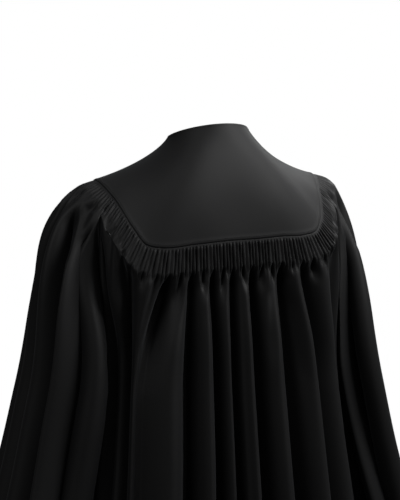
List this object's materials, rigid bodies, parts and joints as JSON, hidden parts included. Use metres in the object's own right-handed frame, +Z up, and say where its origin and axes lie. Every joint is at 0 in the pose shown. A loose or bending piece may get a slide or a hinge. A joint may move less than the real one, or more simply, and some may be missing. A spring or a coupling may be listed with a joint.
{
  "type": "graduation gown",
  "caption": "Black graduation gown with a squared back yoke, fluted gathers below it, bell sleeves and a front zip.",
  "frame": {"origin": "midway between the shoulders at the neckline, 11 mm under its two side points, where the wearer's shoulders carry the gown", "axes": "+Z up, the back faces +Y, the zip faces -Y, +X is the wearer's left"},
  "size_m": [0.7518, 0.5279, 1.221],
  "materials": {
    "matte_black_cloth": "matte",
    "black_zip_tape": "matte",
    "black_metal": "satin"
  },
  "bodies": {
    "gown": {"yoke_back": "matte_black_cloth", "yoke_front_left": "matte_black_cloth", "yoke_front_right": "matte_black_cloth", "back": "matte_black_cloth", "front_left": "matte_black_cloth", "front_right": "matte_black_cloth", "sleeve_left": "matte_black_cloth", "sleeve_right": "matte_black_cloth", "zip_chain": "black_zip_tape", "zip_slider": "black_metal"},
    "zip_pull": {"zip_pull_tab": "black_metal"}
  },
  "joints": [
    {"name": "zip_pull_hinge", "type": "hinge", "parent": "gown", "child": "zip_pull", "pos_m": [0, -0.10524, -0.09757], "axis": [-1, 0, 0], "range_deg": [0, 150]}
  ]
}
